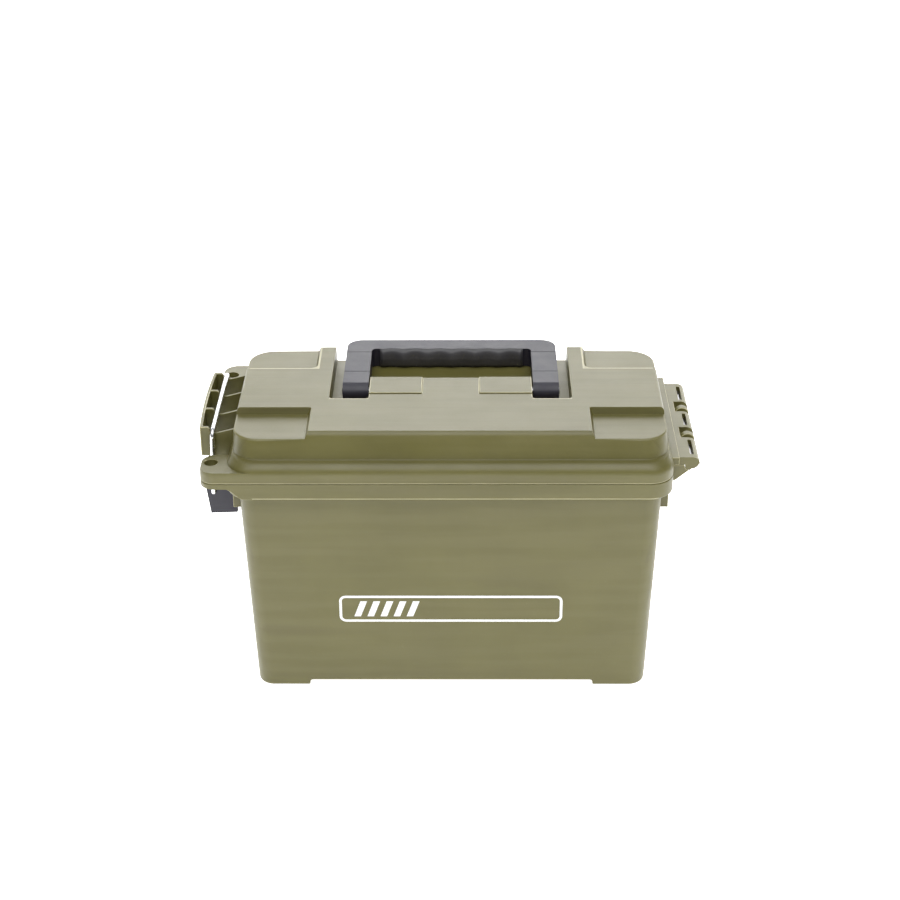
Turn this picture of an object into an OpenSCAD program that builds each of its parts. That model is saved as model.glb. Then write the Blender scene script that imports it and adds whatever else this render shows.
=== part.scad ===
// Hinged plastic field box with a fold-flat carry handle and an over-centre latch.
// X runs along the box, from the latch end (-X) to the hinge end (+X).
// Y runs from the front (-Y) to the back (+Y), and Z is up from the floor.
// The origin is on the floor, in the middle of the box. Sizes are in millimetres.

/* [Base] */
// Length of the tub at the floor
tub_foot_l = 241; // [238:0.5:244]
// Width of the tub at the floor
tub_foot_w = 124; // [122:0.5:126]
// Length of the tub under its rim
tub_head_l = 251.4; // [249:0.2:252]
// Width of the tub under its rim
tub_head_w = 130; // [128:0.5:132]
// Radius of the tub's upright corners
tub_corner_r = 10; // [8:0.5:12]
// Thickness of every moulded wall
wall = 2; // [1.8:0.1:2.2]
// Height of the four corner feet
foot_h = 4.4; // [4:0.1:5]
// Half the gap between the feet along the front
foot_gap_x = 88; // [84:1:92]
// Half the gap between the feet along an end
foot_gap_y = 32; // [28:1:36]

/* [Rim] */
// Length of the rim and of the lid's bead above it
rim_l = 262.8; // [262:0.2:264]
// Width of the rim and of the lid's bead above it
rim_w = 145.6; // [144:0.2:147]
// Corner radius of the rim in plan
rim_corner_r = 15; // [13:0.5:17]
// Height of the rim's lower edge
rim_z = 139.2; // [138.5:0.1:139.5]
// Height of the parting line between the base and the lid
parting_z = 149.6; // [149.4:0.1:149.8]

/* [Lid] */
// Height of the flat top
lid_z = 177; // [176.5:0.1:177]
// Height of the ledge where the bead meets the lid's crown
ledge_z = 161.6; // [161:0.1:162]
// Rounding of the bead's shoulder
bead_r = 7; // [6:0.5:7.5]
// Length of the crown at its foot
crown_foot_l = 257.2; // [256:0.2:258]
// Width of the crown at its foot
crown_foot_w = 130; // [129:0.2:131]
// Length of the flat top
crown_top_l = 255; // [254:0.2:256]
// Width of the flat top
crown_top_w = 118.4; // [118:0.2:119]
// Corner radius of the crown in plan
crown_corner_r = 16; // [14:0.5:18]
// Inner edge of the four stacking recesses along the box
stack_x = 84.7; // [84:0.1:86]
// Inner edge of the four stacking recesses across the box
stack_y = 28.6; // [28:0.1:30]
// Depth of the stacking recesses
stack_depth = 4; // [3.8:0.1:4.5]

/* [Handle] */
// Half the width of the handle's pocket in the lid
pocket_x = 73.2; // [72.5:0.1:74]
// Front wall of the pocket
pocket_front = -15; // [-16:0.1:-14]
// Floor of the pocket
pocket_z = 165; // [164.8:0.1:165]
// Half the width of the platform between the handle's legs
platform_x = 49.5; // [49:0.1:49.7]
// Back edge of the platform
platform_back = 13.3; // [13:0.1:14]
// Half the width of the handle
handle_x = 66.1; // [65.8:0.1:67]
// Back edge of the folded handle
handle_back = 67.3; // [66.5:0.1:68]
// Thickness of the handle
handle_t = 12; // [11.8:0.1:12]
// Width of a leg of the handle
leg_w = 15.8; // [15.4:0.1:15.9]
// Depth of the handle's bar from its back edge to the grip
bar_depth = 13.3; // [12.5:0.1:14]
// How far the grip's waves stand out of the bar
grip_depth = 4.6; // [4:0.1:5]
// Number of finger waves in the grip
grip_waves = 6; // [5:1:7]
// Radius of the handle's steel pivot pins
handle_pin_r = 2.5; // [2.2:0.1:2.6]

/* [Latch] */
// Half the width of the hood on the lid
hood_y = 36.5; // [36:0.1:36.6]
// Radius of the bail's wire
wire_r = 1.5; // [1.4:0.05:1.5]
// Half the distance between the bail's legs
bail_y = 40.3; // [40.3:0.1:41]
// Half the width of the lever
lever_y = 38.4; // [38:0.1:38.4]
// Radius of the lever's steel pin
lever_pin_r = 1.5; // [1.3:0.05:1.5]
// Radius of the padlock holes
padlock_r = 4; // [3.5:0.1:4.2]

/* [Hinge] */
// Distance of the hinge line from the middle of the box
hinge_x = 143.5; // [143.3:0.1:143.6]
// Radius of a hinge knuckle
knuckle_r = 4.5; // [4.3:0.1:4.5]
// Radius of the hinge pin
hinge_pin_r = 1.5; // [1.3:0.05:1.6]

/* [Hidden] */
$fn = 64;
hull_fn = 32;   // circle steps inside a hull
slice = 0.02;   // height of the thin slabs that a hull joins
eps = 0.1;      // overlap between joined pieces and past cut faces
gap = 0.3;      // clearance between faces of parts that move
running = 0.05; // radial clearance of a pin that turns
far = 60;       // reach of a cut that has to clear the part

// Base
base_top = parting_z - gap / 2;
lid_low = parting_z + gap / 2;
cavity_floor = foot_h + wall;
rim_skin_z = base_top - wall;

// Lid
crown_skin_z = lid_z - wall;
bead_side_z = ledge_z - bead_r;
stack_floor = lid_z - stack_depth;
gasket_t = 3;
gasket_outset = 0.1;
gasket_l = rim_l - 2 * wall - gasket_outset;
gasket_w = rim_w - 2 * wall - gasket_outset;
gasket_corner_r = rim_corner_r - wall;
seat_z = lid_low + gasket_t;
seat_t = 1.8;

// Handle
handle_z = pocket_z + 0.5;
pivot_y = 5.5;
pivot_z = handle_z + handle_t / 2;
leg_x = handle_x - leg_w;
handle_corner_r = 9.5;
window_corner_r = 3;
grip_end = 2;
cap_x = 17.3;
cap_front = -8.7;
cap_t = 2;
cap_rise = 0.6;
cap_slack = 0.1;
pin_in = 35;
pin_proud = 0.5;
chamber_x = 19.5;
chamber_wall = 2.2;

// Latch: hood on the lid, bail, lever, and the bracket on the base
hood_x = -150.6;
hood_bow = 1.2;
hood_t = 2;
hood_top = 169;
hood_rib_t = 2;
hood_rib_y = 12.2;
groove_out = -143.3;
groove_in = -138.7;
groove_z = 165;
rib_root_x = -126;
rib_root_z = 168.4;
bail_x = -141.4;
bail_z = 167;
bail_end_x = -143;
bail_end_z = 126.5;
bail_bend_r = 4;
bail_leg = norm([bail_x - bail_end_x, bail_z - bail_end_z]);
bail_lean = atan((bail_x - bail_end_x) / (bail_z - bail_end_z));
lever_px = -143.75;
lever_pz = 133;
lever_out = -147.9;
lever_top = 139.5;
lever_knee_z = 128.8;
lever_toe_x = -145.7;
lever_toe_z = 110.7;
lever_heel_x = -129.6;
lever_heel_z = 111.3;
lever_shoulder_z = 121.5;
lever_plate_t = 2.2;
cheek_t = 3.2;
bracket_y = 29.5;
bracket_t = 4.5;
bracket_boss_r = 4;
bracket_foot_z = 122;
bracket_shelf = 4;
bail_hole_r = 1.8;

// Padlock ears
ear_x = 146.7;
ear_back = 49;
ear_r = 9;
ear_top = 156.8;
ear_low = 146.2;
ear_root = rim_l / 2 - rim_corner_r - 0.4;
padlock_x = -140.6;
padlock_y = 58.7;
ear_curve_from = -120.5;
ear_curve_to = -132;

// Hinge
hinge_z = 150.4;
flange_x = 137.4;
flange_z = 152.2;
flange_top = 154.9;
flange_y = 49.3;
step_x = 135.2;
step_y = 54;
step_top = 157;
hinge_segments = [[-flange_y, -24], [-10.5, 10.5], [24, flange_y]];
hinge_slots = [[-45, -27], [-7.5, 7.5], [27, 45]];
hinge_pin_y = 46.2;
base_knuckle_y = 17.3;
base_knuckle_t = 4.5;
gusset_t = 2.3;
gusset_foot_x = 133.8;
tip_x = 147;
slot_w = 2;

// Ribs on the tub's end walls
end_rib_y = 46.5;
end_rib_t = 3;
end_rib_x = 130.4;
end_rib_z = 121;

olive = [0.46, 0.45, 0.31];
dark_grey = [0.34, 0.33, 0.36];
black = [0.12, 0.12, 0.13];
steel = [0.75, 0.76, 0.78];
rubber = [0.08, 0.08, 0.08];

// ---- Shared shapes ----

// Flat rectangle with round corners, centred
module plan(l, w, r) {
    square([l - 2 * r, w], center = true);
    square([l, w - 2 * r], center = true);
    for (sx = [-1, 1], sy = [-1, 1])
        translate([sx * (l / 2 - r), sy * (w / 2 - r)]) circle(r);
}

// Straight block on a rounded plan
module block(l, w, r, z0, z1) {
    translate([0, 0, z0]) linear_extrude(z1 - z0) plan(l, w, r);
}

// Rounded block that changes size from bottom to top
module taper(l0, w0, z0, l1, w1, z1, r) {
    hull() {
        block(l0, w0, r, z0, z0 + slice, $fn = hull_fn);
        block(l1, w1, r, z1 - slice, z1, $fn = hull_fn);
    }
}

// Box between two corners
module span(a, b) {
    translate(a) cube(b - a);
}

// Outline in the XZ plane, extruded from y0 to y1
module across(y0, y1) {
    translate([0, y1, 0]) rotate([90, 0, 0]) linear_extrude(y1 - y0) children();
}

// Rod along Y
module rod_y(x, z, r, y0, y1) {
    translate([x, y0, z]) rotate([-90, 0, 0]) cylinder(h = y1 - y0, r = r);
}

// Rod along X
module rod_x(y, z, r, x0, x1) {
    translate([x0, y, z]) rotate([0, 90, 0]) cylinder(h = x1 - x0, r = r);
}

// The same thing at the front and at the back
module both_y() {
    children();
    mirror([0, 1, 0]) children();
}

// The same thing at the latch end and at the hinge end
module both_x() {
    children();
    mirror([1, 0, 0]) children();
}

// ---- Base ----

function tub_l(z) = tub_foot_l + (tub_head_l - tub_foot_l) * z / rim_z;
function tub_w(z) = tub_foot_w + (tub_head_w - tub_foot_w) * z / rim_z;

// Tub's outer form, from z0 to the top of the rim, drawn in by a margin
module tub_form(z0, z1, margin) {
    taper(tub_l(z0) - 2 * margin, tub_w(z0) - 2 * margin, z0,
          tub_l(z1) - 2 * margin, tub_w(z1) - 2 * margin, z1, tub_corner_r - margin);
}

module tub() {
    difference() {
        tub_form(0, base_top, 0);
        span([-foot_gap_x, -far * 2, -eps], [foot_gap_x, far * 2, foot_h]);
        span([-far * 3, -foot_gap_y, -eps], [far * 3, foot_gap_y, foot_h]);
    }
}

// Hollows that step down into the feet
module foot_hollows() {
    both_x() both_y()
        span([foot_gap_x + wall, foot_gap_y + wall, wall],
             [tub_foot_l / 2 - wall - 1, tub_foot_w / 2 - wall - 1, cavity_floor + eps]);
}

// Turned-down rim, open underneath
module rim() {
    difference() {
        block(rim_l, rim_w, rim_corner_r, rim_z, base_top);
        difference() {
            block(rim_l - 2 * wall, rim_w - 2 * wall, rim_corner_r - wall, rim_z - 1, rim_skin_z);
            tub_form(rim_z - 2, rim_skin_z + 1, 0);
        }
    }
}

// Plan of one padlock ear, at the front of the latch end
module ear_plan() {
    difference() {
        union() {
            translate([-ear_x + ear_r, -rim_w / 2])
                square([ear_x - ear_r - ear_root, rim_w / 2 - ear_back]);
            translate([-ear_x, -rim_w / 2 + ear_r])
                square([ear_x - ear_root, rim_w / 2 - ear_back - 2 * ear_r]);
            for (y = [-rim_w / 2 + ear_r, -ear_back - ear_r])
                translate([-ear_x + ear_r, y]) circle(ear_r);
        }
        translate([padlock_x, -padlock_y]) circle(padlock_r);
    }
}

// Wall under a base ear, flush with the rim's skirt. Its lower edge is an S from the rim up to the ear.
module ear_web() {
    steps = 12;
    root = ear_curve_from + 2 * wall + 1;
    curve = [for (i = [0 : steps])
        let (t = i / steps)
        [ear_curve_from + (ear_curve_to - ear_curve_from) * t,
         rim_z + (ear_low - rim_z) * (1 - cos(180 * t)) / 2]];
    across(-rim_w / 2, -rim_w / 2 + wall)
        polygon(concat([[root, rim_z]], curve, [[ear_curve_to, ear_low + eps], [root, ear_low + eps]]));
}

// Bracket that carries the lever's pin
module lever_bracket() {
    across(bracket_y, bracket_y + bracket_t) {
        polygon([[-tub_l(rim_z) / 2 + wall, bracket_foot_z], [-tub_l(rim_z) / 2, bracket_foot_z],
                 [lever_px, lever_pz - bracket_boss_r], [lever_px, lever_pz + bracket_boss_r],
                 [-rim_l / 2 - bracket_shelf, rim_z + 6],
                 [-rim_l / 2, rim_z + 6], [-tub_l(rim_z) / 2 + wall, rim_z + 6]]);
        translate([lever_px, lever_pz]) circle(bracket_boss_r);
    }
}

// Gusset under the hinge, up to the tip of the flange
module gusset_outline() {
    polygon([[rim_l / 2 - wall, rim_z], [gusset_foot_x, rim_z], [tip_x, hinge_z],
             [flange_x, base_top], [rim_l / 2 - wall, base_top]]);
}

// Base knuckle: a gusset with a boss round the hinge pin
module base_knuckle() {
    across(base_knuckle_y - base_knuckle_t / 2, base_knuckle_y + base_knuckle_t / 2) {
        gusset_outline();
        translate([hinge_x, hinge_z]) circle(knuckle_r);
    }
}

// End gusset, which leaves room for the lid's knuckle to turn
module end_gusset() {
    across(flange_y - gusset_t, flange_y) difference() {
        gusset_outline();
        translate([hinge_x, hinge_z]) circle(knuckle_r + gap);
    }
}

module base_shell() {
    color(olive) difference() {
        union() {
            tub();
            rim();
            both_y() {
                translate([0, 0, ear_low]) linear_extrude(base_top - ear_low) ear_plan();
                ear_web();
                lever_bracket();
                base_knuckle();
                end_gusset();
            }
            both_x() both_y()
                span([tub_head_l / 2 - wall, end_rib_y, end_rib_z],
                     [end_rib_x, end_rib_y + end_rib_t, rim_z + 3]);
        }
        tub_form(cavity_floor, base_top + 1, wall);
        foot_hollows();
        rod_y(lever_px, lever_pz, lever_pin_r, -far, far);
        rod_y(hinge_x, hinge_z, hinge_pin_r, -far, far);
    }
}

// ---- Lid ----

// Bead round the lid, with a round shoulder, drawn in by a margin
module bead_form(z0, margin) {
    hull() {
        block(rim_l - 2 * margin, rim_w - 2 * margin, rim_corner_r - margin, z0, z0 + slice, $fn = hull_fn);
        for (a = [0 : 15 : 90]) {
            inset = margin + (bead_r - margin) * (1 - cos(a));
            z = bead_side_z + (bead_r - margin) * sin(a);
            block(rim_l - 2 * inset, rim_w - 2 * inset, rim_corner_r - inset, z - slice, z, $fn = hull_fn);
        }
    }
}

function crown_l(z) = crown_foot_l + (crown_top_l - crown_foot_l) * (z - ledge_z) / (lid_z - ledge_z);
function crown_w(z) = crown_foot_w + (crown_top_w - crown_foot_w) * (z - ledge_z) / (lid_z - ledge_z);

// Crown of the lid up to z1, drawn in by a margin
module crown_form(z1, margin) {
    z0 = ledge_z - bead_r / 2;
    taper(crown_l(z0) - 2 * margin, crown_w(z0) - 2 * margin, z0,
          crown_l(z1) - 2 * margin, crown_w(z1) - 2 * margin, z1, crown_corner_r - margin);
}

// Corner recesses that take the feet of another box
module stack_recesses(margin) {
    both_x() both_y()
        span([stack_x - margin, stack_y - margin, stack_floor - margin],
             [stack_x + far, stack_y + far, lid_z + far]);
}

// Pocket for the folded handle, open to the back
module handle_pocket(margin) {
    difference() {
        span([-pocket_x - margin, pocket_front - margin, pocket_z - margin],
             [pocket_x + margin, crown_foot_w / 2 + far, lid_z + far]);
        span([-platform_x + margin, pocket_front - far, pocket_z - far],
             [platform_x - margin, platform_back - margin, lid_z + 2 * far]);
    }
}

// Solid parts of the platform that hold the handle's pins
module pin_housings() {
    both_x()
        span([cap_x - wall, pocket_front, pocket_z - wall], [platform_x, platform_back, lid_z]);
}

// Cuts for one pin: the plate's seat, the chamber under it and the bore in the side wall
module pin_cuts() {
    both_x() {
        span([cap_x, cap_front, lid_z - cap_t], [platform_x + eps, platform_back + eps, lid_z + far]);
        span([chamber_x, pivot_y - handle_pin_r, pivot_z],
             [platform_x - chamber_wall, pivot_y + handle_pin_r, lid_z]);
        rod_x(pivot_y, pivot_z, handle_pin_r, chamber_x, platform_x + eps);
        span([chamber_x, pocket_front + wall, pocket_z - wall - eps],
             [platform_x - wall, pivot_y - handle_pin_r - wall, lid_z - cap_t - wall]);
    }
}

// Channel that holds the gasket
module gasket_seat() {
    inner_l = gasket_l - 2 * gasket_t;
    inner_w = gasket_w - 2 * gasket_t;
    inner_r = gasket_corner_r - gasket_t;
    difference() {
        block(rim_l - wall, rim_w - wall, rim_corner_r - wall / 2,
              seat_z - gasket_t + 1, seat_z + seat_t);
        block(gasket_l + gasket_outset, gasket_w + gasket_outset, gasket_corner_r,
              seat_z - gasket_t, seat_z);
    }
    difference() {
        block(inner_l, inner_w, inner_r, seat_z - gasket_t + 1, seat_z + eps);
        block(inner_l - 2 * seat_t, inner_w - 2 * seat_t, inner_r - seat_t,
              seat_z - gasket_t, seat_z + 2 * seat_t);
    }
}

module gasket_opening() {
    block(gasket_l - 2 * gasket_t - 2 * seat_t, gasket_w - 2 * gasket_t - 2 * seat_t,
          gasket_corner_r - gasket_t - seat_t, seat_z - gasket_t - 1, seat_z + seat_t + 1);
}

// Ribbed hood that guides the bail, with a bowed outer plate
module latch_hood() {
    bow_r = hood_y * hood_y / (2 * hood_bow) + hood_bow / 2;
    intersection() {
        translate([hood_x + bow_r, 0, lid_low]) difference() {
            cylinder(h = hood_top - lid_low, r = bow_r, $fn = 1440);
            translate([0, 0, -1]) cylinder(h = far, r = bow_r - hood_t, $fn = 1440);
        }
        span([hood_x - 1, -hood_y - hood_rib_t / 2, lid_low - 1],
             [groove_out, hood_y + hood_rib_t / 2, hood_top + 1]);
    }
    for (y = [-hood_y, -hood_rib_y, hood_rib_y, hood_y]) {
        bow = hood_bow * pow(y / hood_y, 2);
        across(y - hood_rib_t / 2, y + hood_rib_t / 2)
            polygon([[hood_x + bow + hood_t / 2, lid_low], [hood_x + bow + hood_t / 2, hood_top],
                     [groove_out - 1, hood_top], [groove_out, hood_top - 1], [groove_out, groove_z],
                     [groove_in, groove_z], [rib_root_x, rib_root_z], [rib_root_x, lid_low + 8],
                     [-rim_l / 2 + wall / 2, lid_low]]);
    }
}

// Step, flange and knuckles of the lid's half of the hinge. Its end plates are cut to the gussets' slope.
module lid_hinge() {
    span([rim_l / 2 - wall / 2, -step_y, flange_z], [step_x, step_y, step_top]);
    span([rim_l / 2 - wall / 2, -flange_y, flange_z], [flange_x, flange_y, flange_top]);
    difference() {
        for (s = hinge_segments) {
            span([rim_l / 2 - wall / 2, s[0], hinge_z], [hinge_x, s[1], flange_top]);
            rod_y(hinge_x, hinge_z, knuckle_r, s[0], s[1]);
        }
        both_y() across(-flange_y - 1, -hinge_pin_y - 2 * gap)
            polygon([[gusset_foot_x, rim_z], [tip_x, hinge_z],
                     [tip_x + far, hinge_z], [tip_x + far, rim_z]]);
    }
}

module lid_shell() {
    color(olive) difference() {
        union() {
            difference() {
                union() {
                    bead_form(lid_low, 0);
                    crown_form(lid_z, 0);
                    both_y() translate([0, 0, lid_low]) linear_extrude(ear_top - lid_low) ear_plan();
                    latch_hood();
                    lid_hinge();
                }
                bead_form(lid_low - 1, wall);
                difference() {
                    crown_form(crown_skin_z, wall);
                    stack_recesses(wall);
                    handle_pocket(wall);
                }
            }
            pin_housings();
            difference() {
                gasket_seat();
                gasket_opening();
            }
        }
        stack_recesses(0);
        handle_pocket(0);
        pin_cuts();
        rod_y(hinge_x, hinge_z, hinge_pin_r + running, -hinge_pin_y - gap, hinge_pin_y + gap);
        for (s = hinge_slots)
            span([hinge_x - slot_w / 2, s[0], hinge_z], [hinge_x + slot_w / 2, s[1], lid_z]);
    }
}

module lid_gasket() {
    color(rubber) difference() {
        block(gasket_l, gasket_w, gasket_corner_r, lid_low, seat_z);
        block(gasket_l - 2 * gasket_t, gasket_w - 2 * gasket_t, gasket_corner_r - gasket_t,
              lid_low - 1, seat_z + 1);
    }
}

module hinge_pin() {
    color(steel) rod_y(hinge_x, hinge_z, hinge_pin_r, -hinge_pin_y, hinge_pin_y);
}

// ---- Handle ----

module handle_plan() {
    difference() {
        union() {
            translate([-handle_x, pivot_y]) square([2 * handle_x, handle_back - handle_corner_r - pivot_y]);
            translate([-handle_x + handle_corner_r, pivot_y])
                square([2 * (handle_x - handle_corner_r), handle_back - pivot_y]);
            for (s = [-1, 1])
                translate([s * (handle_x - handle_corner_r), handle_back - handle_corner_r])
                    circle(handle_corner_r);
        }
        translate([-leg_x, pivot_y - 1])
            square([2 * leg_x, handle_back - bar_depth - window_corner_r - pivot_y + 1]);
        translate([-leg_x + window_corner_r, pivot_y - 1])
            square([2 * (leg_x - window_corner_r), handle_back - bar_depth - pivot_y + 1]);
        for (s = [-1, 1])
            translate([s * (leg_x - window_corner_r), handle_back - bar_depth - window_corner_r])
                circle(window_corner_r);
    }
}

module carry_handle() {
    color(dark_grey) difference() {
        union() {
            translate([0, 0, handle_z]) linear_extrude(handle_t) handle_plan();
            both_x() rod_x(pivot_y, pivot_z, handle_t / 2, leg_x, handle_x);
        }
        both_x() rod_x(pivot_y, pivot_z, handle_pin_r + running, leg_x - eps, handle_x + eps);
    }
}

// Half-round grip along the bar, with scalloped finger waves
module handle_grip() {
    grip_x = leg_x - window_corner_r - grip_end;
    pitch = 2 * grip_x / grip_waves;
    scallop = 1;
    scallop_r = pitch * pitch / (8 * scallop) + scallop / 2;
    face_y = handle_back - bar_depth;
    color(black) difference() {
        rod_x(face_y + 2, pivot_z, grip_depth + 2, -grip_x, grip_x);
        span([-grip_x - 1, face_y, handle_z - far], [grip_x + 1, face_y + far, lid_z + far]);
        for (i = [0 : grip_waves - 1])
            translate([-grip_x + pitch * (i + 0.5), face_y - grip_depth - scallop_r + scallop,
                       handle_z - 1])
                cylinder(h = handle_t + 2, r = scallop_r, $fn = 128);
    }
}

module handle_pin(side) {
    color(steel) mirror([side < 0 ? 1 : 0, 0, 0])
        rod_x(pivot_y, pivot_z, handle_pin_r, pin_in, handle_x + pin_proud);
}

// Snap-in plate over a pin, with a rib that keeps the pin from backing out
module pin_cap(side) {
    color(olive) mirror([side < 0 ? 1 : 0, 0, 0]) {
        span([cap_x + cap_slack, cap_front + cap_slack, lid_z - cap_t],
             [platform_x, platform_back, lid_z + cap_rise]);
        span([chamber_x + cap_slack, pivot_y - handle_pin_r + cap_slack, pivot_z],
             [pin_in - cap_slack, pivot_y + handle_pin_r - cap_slack, lid_z - cap_t]);
    }
}

module handle_pin_left() { handle_pin(-1); }
module handle_pin_right() { handle_pin(1); }
module pin_cap_left() { pin_cap(-1); }
module pin_cap_right() { pin_cap(1); }

// ---- Latch ----

// Wire loop: top bar, two round bends and two legs that lean outwards
module latch_bail() {
    color(steel) translate([bail_x, 0, bail_z]) rotate([0, bail_lean, 0]) {
        rod_y(0, 0, wire_r, -bail_y + bail_bend_r, bail_y - bail_bend_r);
        both_y() {
            translate([0, bail_y - bail_bend_r, -bail_bend_r]) rotate([90, 0, 90])
                rotate_extrude(angle = 90) translate([bail_bend_r, 0]) circle(wire_r);
            translate([0, bail_y, -bail_leg]) cylinder(h = bail_leg - bail_bend_r, r = wire_r);
            translate([0, bail_y, -bail_leg]) sphere(wire_r);
        }
    }
}

module cheek_outline() {
    difference() {
        polygon([[lever_toe_x, lever_toe_z], [lever_heel_x, lever_heel_z],
                 [lever_heel_x - 0.4, lever_shoulder_z], [lever_px + 6, lever_pz + 2],
                 [lever_px + 3, lever_top], [lever_out, lever_top], [lever_out, lever_knee_z]]);
        translate([lever_px, lever_pz]) circle(lever_pin_r + running);
        translate([bail_end_x, bail_end_z]) circle(bail_hole_r);
    }
}

module latch_lever() {
    color(dark_grey) {
        both_y() across(lever_y - cheek_t, lever_y) cheek_outline();
        difference() {
            across(-lever_y + cheek_t - eps, lever_y - cheek_t + eps)
                polygon([[lever_toe_x, lever_toe_z], [lever_toe_x + lever_plate_t, lever_toe_z],
                         [lever_out + lever_plate_t, lever_knee_z], [lever_out + lever_plate_t, lever_top],
                         [lever_out, lever_top], [lever_out, lever_knee_z]]);
            both_y()
                span([lever_out - 1, bracket_y - gap, lever_pz - bracket_boss_r - 2],
                     [lever_px, bracket_y + bracket_t + gap, lever_top + 1]);
        }
    }
}

module lever_pin() {
    color(steel) rod_y(lever_px, lever_pz, lever_pin_r, -lever_y, lever_y);
}

base_shell();
lid_shell();
lid_gasket();
hinge_pin();
carry_handle();
handle_grip();
handle_pin_left();
handle_pin_right();
pin_cap_left();
pin_cap_right();
latch_bail();
latch_lever();
lever_pin();
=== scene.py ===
"""Looks of a hinged plastic field box: moulded shells, handle, wire-bail latch, print and studio.

Lengths are in millimetres in the tables and shape functions, and become metres when a mesh is made.
"""
import math

import bmesh
import bpy
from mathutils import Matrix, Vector


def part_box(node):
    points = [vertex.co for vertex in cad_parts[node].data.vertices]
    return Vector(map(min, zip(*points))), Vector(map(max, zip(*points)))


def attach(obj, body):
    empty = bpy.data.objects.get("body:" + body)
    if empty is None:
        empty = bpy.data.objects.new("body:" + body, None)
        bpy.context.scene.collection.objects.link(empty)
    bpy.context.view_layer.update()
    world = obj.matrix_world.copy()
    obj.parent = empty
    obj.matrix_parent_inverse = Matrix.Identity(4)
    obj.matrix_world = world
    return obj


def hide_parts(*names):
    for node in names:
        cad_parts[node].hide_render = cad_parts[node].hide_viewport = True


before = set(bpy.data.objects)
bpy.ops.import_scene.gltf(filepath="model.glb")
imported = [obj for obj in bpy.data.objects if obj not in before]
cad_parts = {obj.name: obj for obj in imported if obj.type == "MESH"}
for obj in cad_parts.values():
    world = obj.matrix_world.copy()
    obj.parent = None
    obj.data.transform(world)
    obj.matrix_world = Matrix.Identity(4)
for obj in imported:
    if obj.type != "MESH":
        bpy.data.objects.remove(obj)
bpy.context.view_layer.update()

MM = 0.001


# ---- Driving sizes, from the frame ----

def limits(node):
    """Lowest and highest corner of a CAD node, in millimetres."""
    low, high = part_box(node)
    return low / MM, high / MM


LID_LOW = limits("lid_shell")[0]
BASE_HIGH = limits("base_shell")[1]
HANDLE_LOW, HANDLE_HIGH = limits("carry_handle")
GRIP_LOW, GRIP_HIGH = limits("handle_grip")
LEVER_LOW, LEVER_HIGH = limits("latch_lever")
BAIL_HIGH = limits("latch_bail")[1]
CAP_LOW, CAP_HIGH = limits("pin_cap_right")

WALL = 2.0
GAP = 0.3
RIM_HALF_W = BASE_HIGH.y
RIM_HALF_L = 131.4
RIM_R = 15.0
RIM_Z = 139.2
BASE_TOP = 149.45
LID_BOTTOM = BASE_TOP + GAP

TUB_HALF = (120.5, 62.0)
TUB_GROWTH = (5.2 / RIM_Z, 3.0 / RIM_Z)
TUB_R = 10.0
FOOT_H = 4.4
FOOT_GAP = (88.0, 32.0)
FLOOR_Z = FOOT_H + WALL

EAR_X = 146.7
EAR_BACK = 49.0
EAR_START = 40.0
EAR_R = 9.0
EAR_TOP = 156.8
EAR_LOW = 146.2
PADLOCK = (-140.6, 58.7, 4.0)

LEDGE_Z = 161.6
BEAD_R = 7.0
BEAD_SIDE_Z = LEDGE_Z - BEAD_R
LID_TOP = 177.0
CROWN_FOOT = (128.6, 65.0)
CROWN_TOP = (127.5, 59.2)
CROWN_R = 16.0
CROWN_ROUND = 2.6
STACK = (84.7, 28.6, 4.0)
STACK_SLOPE = 1.7

POCKET_X = 73.2
POCKET_FRONT = -15.0
POCKET_Z = 165.0
PLATFORM_X = 49.5
PLATFORM_BACK = 13.3

HINGE = (143.5, 150.4)
KNUCKLE_R = 4.5
PIN_R = 1.5
PIN_BORE_R = PIN_R + 0.06
LEVER_PIN = (-143.75, 133.0)
BAIL_END = (-143.0, 126.5)
BAIL_R = 1.5
HANDLE_PIN = (5.5, 171.5)
HANDLE_PIN_R = 2.45
SEAL_OUTER = (129.35, 70.75, 12.95)
SEAL_WIDTH = 3.0
FLANGE_Y = 49.3
STEP = (135.2, 54.0, 157.0)

HOOD_HALF = 36.5
HOOD_BOW = 1.2
CORNER_STEPS = 16
SKIN = 0.03
EAR_INSET = 0.02
# Face attribute for pale edges: partly wear, partly a painted highlight where light catches the rounded
# edges.
WEAR_AND_HIGHLIGHT = "wear_and_highlight"


# ---- Mesh tools ----

def new_object(name, mesh):
    obj = bpy.data.objects.new(name, mesh)
    bpy.context.scene.collection.objects.link(obj)
    return obj


def mesh_from(bm, name):
    """An object from a bmesh in millimetres."""
    bmesh.ops.remove_doubles(bm, verts=bm.verts, dist=0.002)
    bmesh.ops.recalc_face_normals(bm, faces=bm.faces)
    bmesh.ops.scale(bm, vec=(MM, MM, MM), verts=bm.verts)
    mesh = bpy.data.meshes.new(name)
    bm.to_mesh(mesh)
    bm.free()
    return new_object(name, mesh)


def loft(name, rings, loop=False):
    """A closed solid through rings of equal length. A loop joins its last ring to its first."""
    bm = bmesh.new()
    rows = [[bm.verts.new(p) for p in ring] for ring in rings]
    n = len(rows[0])
    pairs = list(zip(rows, rows[1:]))
    if loop:
        pairs.append((rows[-1], rows[0]))
    for lower, upper in pairs:
        for i in range(n):
            j = (i + 1) % n
            bm.faces.new((lower[i], lower[j], upper[j], upper[i]))
    if not loop:
        bm.faces.new(list(reversed(rows[0])))
        bm.faces.new(rows[-1])
    return mesh_from(bm, name)


def prism(name, outline, axis, start, stop):
    """A flat outline pushed along an axis. The outline's two coordinates are the other axes, in order."""
    places = {"x": lambda a, b, t: (t, a, b),
              "y": lambda a, b, t: (a, t, b),
              "z": lambda a, b, t: (a, b, t)}
    place = places[axis]
    return loft(name, [[place(a, b, t) for a, b in outline] for t in (start, stop)])


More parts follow.
